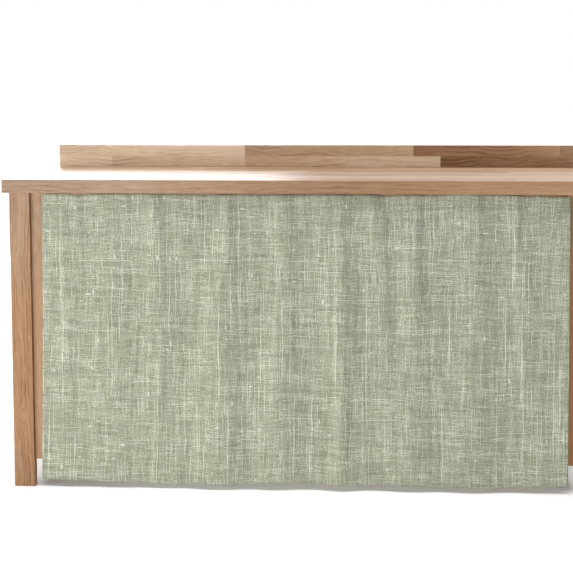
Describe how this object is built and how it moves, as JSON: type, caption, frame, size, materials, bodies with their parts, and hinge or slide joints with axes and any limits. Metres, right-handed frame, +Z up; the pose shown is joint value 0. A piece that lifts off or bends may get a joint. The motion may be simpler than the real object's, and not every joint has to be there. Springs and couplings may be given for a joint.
{
  "type": "sink skirt on a wooden counter table",
  "caption": "Sage linen-look cloth panel hung in soft uneven folds across the front of a plain wooden counter table with upstand, flat legs and side panels.",
  "frame": {"origin": "centre of the bounding box at floor level, under the middle of the worktop", "axes": "+X along the counter to the right as seen from the front, +Y from the skirt towards the upstand, +Z up"},
  "size_m": [1.73, 0.635, 0.973],
  "materials": {
    "cloth": "linen look weave with pale slubs, matt",
    "worktop_wood": "oiled staves, satin",
    "frame_wood": "oiled solid wood, satin"
  },
  "bodies": {
    "root": {"skirt": "cloth", "worktop": "worktop_wood", "upstand": "worktop_wood", "leg_front_left": "frame_wood", "leg_front_right": "frame_wood", "leg_rear_left": "frame_wood", "leg_rear_right": "frame_wood", "side_panel_left": "frame_wood", "side_panel_right": "frame_wood", "front_rail": "frame_wood", "rear_rail": "frame_wood"}
  },
  "joints": []
}
